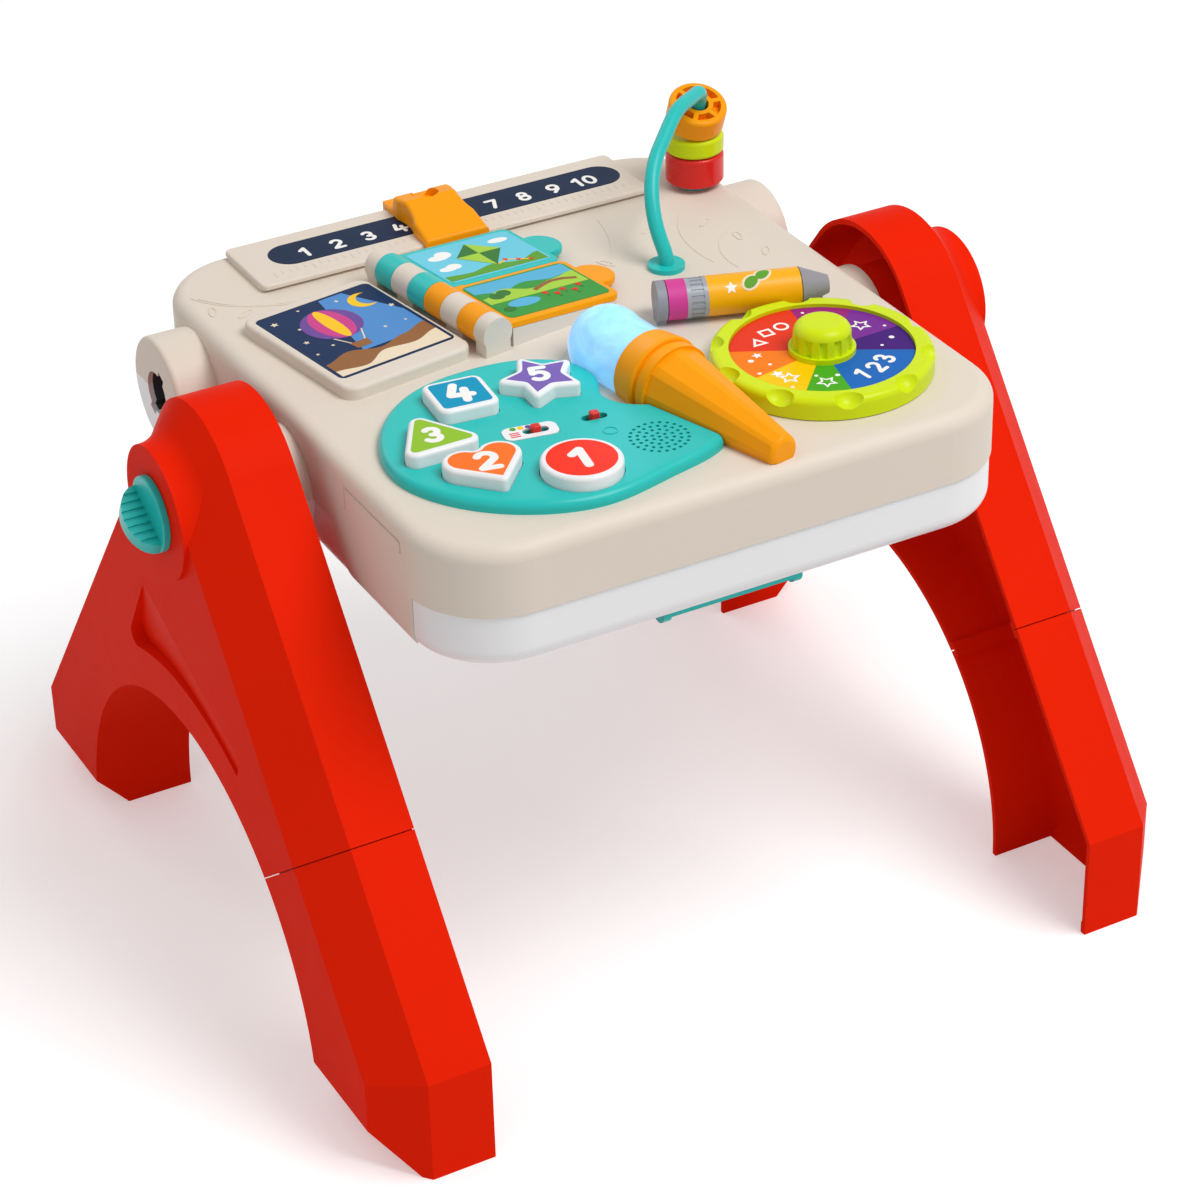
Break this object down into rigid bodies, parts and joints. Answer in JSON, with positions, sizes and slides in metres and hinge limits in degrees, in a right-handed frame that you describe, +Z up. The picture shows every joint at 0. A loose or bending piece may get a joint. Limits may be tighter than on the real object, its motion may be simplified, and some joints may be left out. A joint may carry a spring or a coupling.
{
  "type": "activity table",
  "caption": "Toddler activity table with a square top of buttons, flip pages, dial, pencil roller, brush and bead rod on two arched plug-on legs.",
  "frame": {"origin": "on the floor under the middle of the table, halfway between the legs and between the front and rear feet", "axes": "+X to the right from the child's place, +Y to the back (towards the ruler), +Z up"},
  "size_m": [0.5576, 0.513, 0.4127],
  "materials": {
    "tan": "warm light beige moulding, fine grain",
    "white": "white gloss moulding",
    "teal": "turquoise gloss moulding",
    "red": "orange-red gloss moulding",
    "bead_red": "red gloss moulding",
    "lime": "yellow-green gloss moulding",
    "orange": "warm orange gloss moulding",
    "navy": "dark blue printed strip with plain numbers",
    "picture": "printed card with a plain landscape",
    "page_rear_art": "printed sheet with plain shapes",
    "page_front_art": "printed sheet with plain shapes",
    "rainbow": "disc with sectors in rainbow colours",
    "pink": "pink satin end",
    "silver": "grey band with ridges",
    "yellow": "yellow gloss barrel",
    "grey": "grey moulding",
    "lens": "milky pale blue lens, lit from inside",
    "dark": "dark grey bush",
    "steel": "bright steel",
    "cell": "plain cell with a bare label",
    "board": "green circuit board",
    "silicone": "pale silicone sheet",
    "emitter": "clear light emitter",
    "insert_red": "red inlay",
    "insert_orange": "orange inlay",
    "insert_green": "green inlay",
    "insert_blue": "blue inlay",
    "insert_purple": "purple inlay"
  },
  "bodies": {
    "table": {"upper_shell": "tan", "lower_shell": "white", "battery_door": "white", "switch_plate": "white", "palette": "teal", "bead_rod": "teal", "paper_ledge": "teal", "leg_frame_left": "red", "leg_frame_right": "red", "leg_lower_left": "red", "leg_lower_right": "red", "brush_handle": "orange", "number_strip": "navy", "picture_panel": "picture", "pencil_cap": "grey", "pencil_tip": "grey", "brush_lens": "lens", "hub_bush_left": "dark", "hub_bush_right": "dark", "socket_bush_left": "dark", "socket_bush_right": "dark", "speaker": "dark", "case_screws": "steel", "battery_door_screw": "steel", "page_pin": "steel", "pencil_axle": "steel", "battery_contacts": "steel", "battery_cells": "cell", "circuit_board": "board", "button_membrane": "silicone", "light_emitter": "emitter"},
    "page_front": {"page_front": "orange", "page_front_print": "page_front_art"},
    "page_rear": {"page_rear": "teal", "page_rear_print": "page_rear_art"},
    "slider": {"slider": "orange"},
    "dial": {"dial_ring": "lime", "dial_disc": "rainbow", "dial_knob": "lime", "dial_clip": "steel"},
    "pencil_roller": {"pencil_eraser": "pink", "pencil_ferrule": "silver", "pencil_barrel": "yellow"},
    "bead_red": {"bead_red": "bead_red"},
    "bead_lime": {"bead_lime": "lime"},
    "bead_orange": {"bead_orange": "orange"},
    "power_switch": {"power_switch": "bead_red"},
    "volume_switch": {"volume_switch": "bead_red"},
    "lock_knob_left": {"lock_knob_left": "teal"},
    "lock_knob_right": {"lock_knob_right": "teal"},
    "button_circle": {"button_circle": "white", "button_circle_insert": "insert_red"},
    "button_heart": {"button_heart": "white", "button_heart_insert": "insert_orange"},
    "button_triangle": {"button_triangle": "white", "button_triangle_insert": "insert_green"},
    "button_square": {"button_square": "white", "button_square_insert": "insert_blue"},
    "button_star": {"button_star": "white", "button_star_insert": "insert_purple"}
  },
  "joints": [
    {"name": "button_circle_press", "type": "slide", "parent": "table", "child": "button_circle", "axis": [0, 0, -1], "range_m": [0, 0.003], "stiffness_N_per_m": 500, "springref_m": -0.002},
    {"name": "button_heart_press", "type": "slide", "parent": "table", "child": "button_heart", "axis": [0, 0, -1], "range_m": [0, 0.003], "stiffness_N_per_m": 500, "springref_m": -0.002},
    {"name": "button_triangle_press", "type": "slide", "parent": "table", "child": "button_triangle", "axis": [0, 0, -1], "range_m": [0, 0.003], "stiffness_N_per_m": 500, "springref_m": -0.002},
    {"name": "button_square_press", "type": "slide", "parent": "table", "child": "button_square", "axis": [0, 0, -1], "range_m": [0, 0.003], "stiffness_N_per_m": 500, "springref_m": -0.002},
    {"name": "button_star_press", "type": "slide", "parent": "table", "child": "button_star", "axis": [0, 0, -1], "range_m": [0, 0.003], "stiffness_N_per_m": 500, "springref_m": -0.002},
    {"name": "power_switch_slide", "type": "slide", "parent": "table", "child": "power_switch", "axis": [0.9848, -0.1736, 0], "range_m": [-0.003, 0.003]},
    {"name": "volume_switch_slide", "type": "slide", "parent": "table", "child": "volume_switch", "axis": [0.9903, -0.1392, 0], "range_m": [-0.003, 0.003]},
    {"name": "slider_travel", "type": "slide", "parent": "table", "child": "slider", "axis": [1, 0, 0], "range_m": [-0.1, 0.105]},
    {"name": "page_front_turn", "type": "hinge", "parent": "table", "child": "page_front", "pos_m": [-0.057, 0.0565, 0.3516], "axis": [0.153, -0.9882, 0], "range_deg": [0, 183]},
    {"name": "page_rear_turn", "type": "hinge", "parent": "table", "child": "page_rear", "pos_m": [-0.057, 0.0565, 0.3516], "axis": [0.153, -0.9882, 0], "range_deg": [0, 183]},
    {"name": "dial_spin", "type": "hinge", "parent": "table", "child": "dial", "pos_m": [0.1, -0.1105, 0.35], "axis": [0, 0, 1], "continuous": true},
    {"name": "pencil_roll", "type": "hinge", "parent": "table", "child": "pencil_roller", "pos_m": [0.096, -0.03, 0.352], "axis": [0.9483, -0.3173, 0], "continuous": true},
    {"name": "bead_red_spin", "type": "hinge", "parent": "table", "child": "bead_red", "pos_m": [0.161, 0.135, 0.36], "axis": [0, 0, 1], "continuous": true},
    {"name": "bead_lime_spin", "type": "hinge", "parent": "table", "child": "bead_lime", "pos_m": [0.161, 0.135, 0.36], "axis": [0, 0, 1], "continuous": true},
    {"name": "bead_orange_spin", "type": "hinge", "parent": "table", "child": "bead_orange", "pos_m": [0.161, 0.135, 0.381], "axis": [-0.0427, -0.4063, 0.9128], "continuous": true},
    {"name": "lock_knob_left_turn", "type": "hinge", "parent": "table", "child": "lock_knob_left", "pos_m": [-0.25, 0, 0.298], "axis": [1, 0, 0], "range_deg": [0, 90]},
    {"name": "lock_knob_right_turn", "type": "hinge", "parent": "table", "child": "lock_knob_right", "pos_m": [0.25, 0, 0.298], "axis": [1, 0, 0], "range_deg": [0, 90]}
  ]
}
